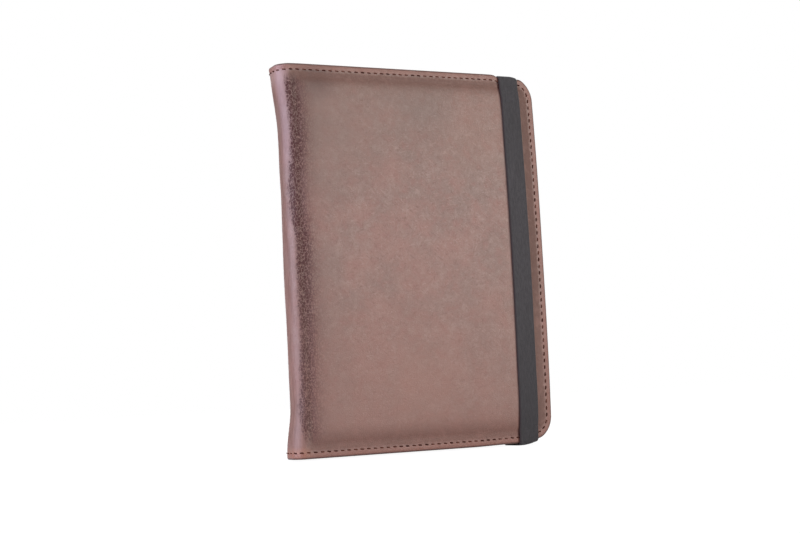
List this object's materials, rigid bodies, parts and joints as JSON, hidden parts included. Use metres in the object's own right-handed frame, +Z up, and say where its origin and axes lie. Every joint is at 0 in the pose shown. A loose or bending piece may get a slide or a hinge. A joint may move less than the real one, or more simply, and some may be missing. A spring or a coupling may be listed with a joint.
{
  "type": "notebook cover",
  "caption": "Padded leather notebook cover with turned, stitched edges, inner card sleeves, a sewn notebook inside and a flat elastic band that holds it shut.",
  "frame": {"origin": "middle of the footprint, on the surface that the closed cover stands on", "axes": "+Z up along the spine, +X from the spine to the fore-edge, -Y out of the front cover"},
  "size_m": [0.1628, 0.0235, 0.2225],
  "materials": {
    "cover_leather": "waxed, mottled brown leather with fine grain",
    "sleeve_leather": "thin smooth brown leather",
    "lining": "matt dark brown lining cloth",
    "foam": "thin padding felt",
    "greyboard": "raw grey board",
    "cover_thread": "waxed dark brown sewing thread",
    "card": "uncoated kraft card",
    "tape": "black binding cloth",
    "linen_thread": "natural linen thread",
    "paper": "uncoated cream paper",
    "elastic": "charcoal woven elastic"
  },
  "bodies": {
    "back_cover": {"back_leather": "cover_leather", "back_padding": "foam", "back_board": "greyboard", "back_lining": "lining", "back_sleeve": "sleeve_leather", "back_stitching": "cover_thread", "notebook_back_card": "card", "notebook_spine_tape": "tape", "binding_thread": "linen_thread", "signature_1": "paper", "signature_2": "paper", "signature_3": "paper", "signature_4": "paper", "signature_5": "paper", "signature_6": "paper", "signature_7": "paper", "band_ends": "elastic"},
    "spine": {"spine_leather": "cover_leather", "spine_lining": "lining", "spine_stitching": "cover_thread"},
    "front_cover": {"front_leather": "cover_leather", "front_padding": "foam", "front_board": "greyboard", "front_lining": "lining", "front_sleeve": "sleeve_leather", "front_stitching": "cover_thread", "notebook_front_card": "card"},
    "elastic": {"elastic_band": "elastic"}
  },
  "joints": [
    {"name": "back_fold", "type": "hinge", "parent": "back_cover", "child": "spine", "pos_m": [-0.07982, 0.00805, 0.11125], "axis": [0, 0, -1], "range_deg": [0, 180]},
    {"name": "front_fold", "type": "hinge", "parent": "spine", "child": "front_cover", "pos_m": [-0.07982, -0.00805, 0.11125], "axis": [0, 0, -1], "range_deg": [0, 180]},
    {"name": "band_swing", "type": "hinge", "parent": "back_cover", "child": "elastic", "pos_m": [0.06473, 0.0074, 0.11125], "axis": [0, 0, 1], "range_deg": [0, 180], "deforming": ["elastic_band"]}
  ]
}
